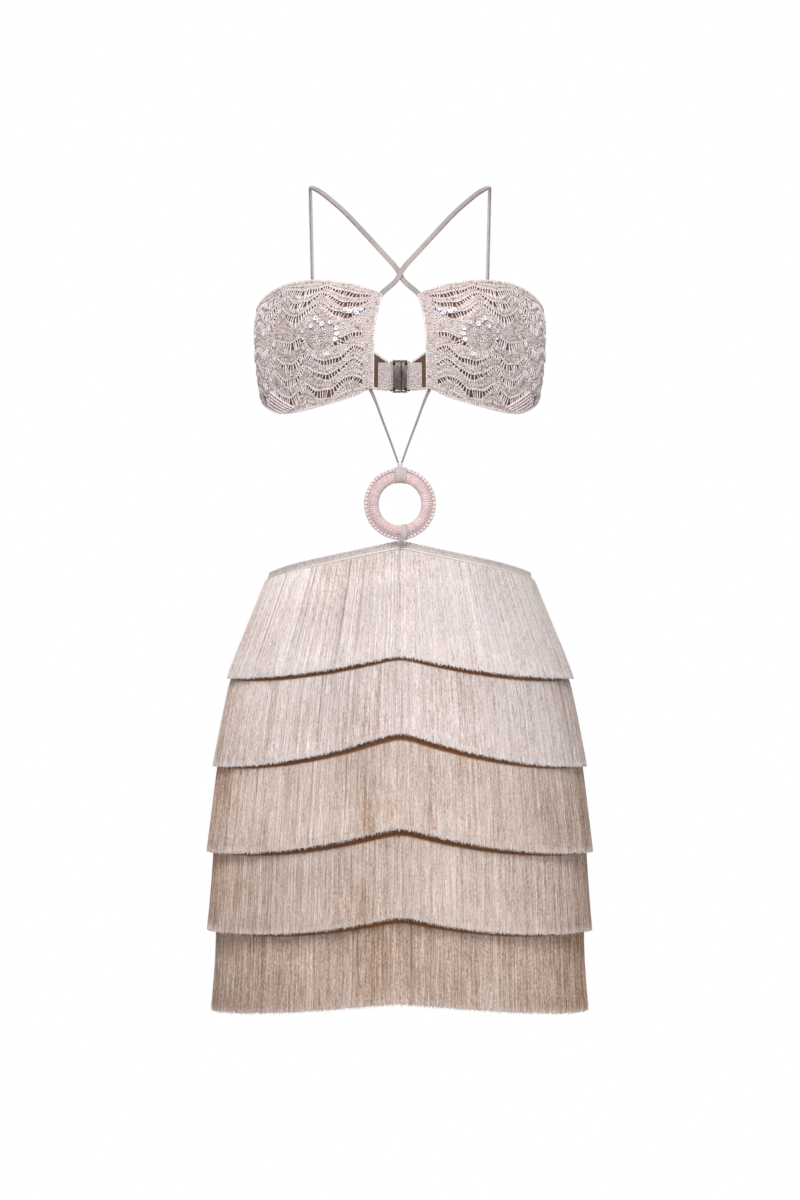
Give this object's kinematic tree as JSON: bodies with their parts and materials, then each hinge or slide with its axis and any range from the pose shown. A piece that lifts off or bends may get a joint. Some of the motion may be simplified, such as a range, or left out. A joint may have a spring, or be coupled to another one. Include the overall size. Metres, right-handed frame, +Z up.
{
  "type": "crochet mini dress",
  "caption": "Worn cut-out mini dress: lined crochet cups with crossed straps and a back clasp, a covered ring on two cords, and a skirt of fringe tiers.",
  "frame": {"origin": "midway between the tops of the two shoulder straps, where the wearer's shoulders carry the dress", "axes": "+Z up, +X to the wearer's left, -Y out of the front"},
  "size_m": [0.3858, 0.2772, 0.8216],
  "materials": {
    "crochet": "openwork crochet of matt cotton and viscose thread, pinkish beige",
    "lining": "smooth matt jersey lining, beige",
    "knit_strap": "fine knitted tube, greyish mauve",
    "ring_yarn": "silky yarn wound across the ring, pinkish cream",
    "clasp_metal": "gunmetal plating, worn lighter at the edges",
    "waistband": "tight crochet band, greyish beige",
    "skirt_cloth": "plain knitted cloth, tan",
    "fringe_upper": "silky viscose fringe, champagne",
    "fringe_lower": "silky viscose fringe, warm champagne to tan"
  },
  "bodies": {
    "root": {"cup_left": "crochet", "cup_strip_left": "crochet", "cup_lining_left": "lining", "wing_left": "crochet", "wing_lining_left": "lining", "back_tab_left": "crochet", "clasp_left": "clasp_metal", "strap_left": "knit_strap", "ring_cord_left": "knit_strap", "cup_right": "crochet", "cup_strip_right": "crochet", "cup_lining_right": "lining", "wing_right": "crochet", "wing_lining_right": "lining", "back_tab_right": "crochet", "clasp_right": "clasp_metal", "strap_right": "knit_strap", "ring_cord_right": "knit_strap", "cord_loop": "knit_strap", "ring": "ring_yarn", "ring_edging": "ring_yarn", "ring_wrap_top": "knit_strap", "ring_wrap_bottom": "knit_strap", "apex_knot": "knit_strap", "waistband_front": "waistband", "skirt_front": "skirt_cloth", "waistband_back": "waistband", "skirt_back": "skirt_cloth", "fringe_1_front": "fringe_upper", "fringe_1_back": "fringe_upper", "fringe_2_front": "fringe_upper", "fringe_2_back": "fringe_upper", "fringe_3_front": "fringe_lower", "fringe_3_back": "fringe_lower", "fringe_4_front": "fringe_lower", "fringe_4_back": "fringe_lower", "fringe_5_front": "fringe_lower", "fringe_5_back": "fringe_lower"}
  },
  "joints": []
}
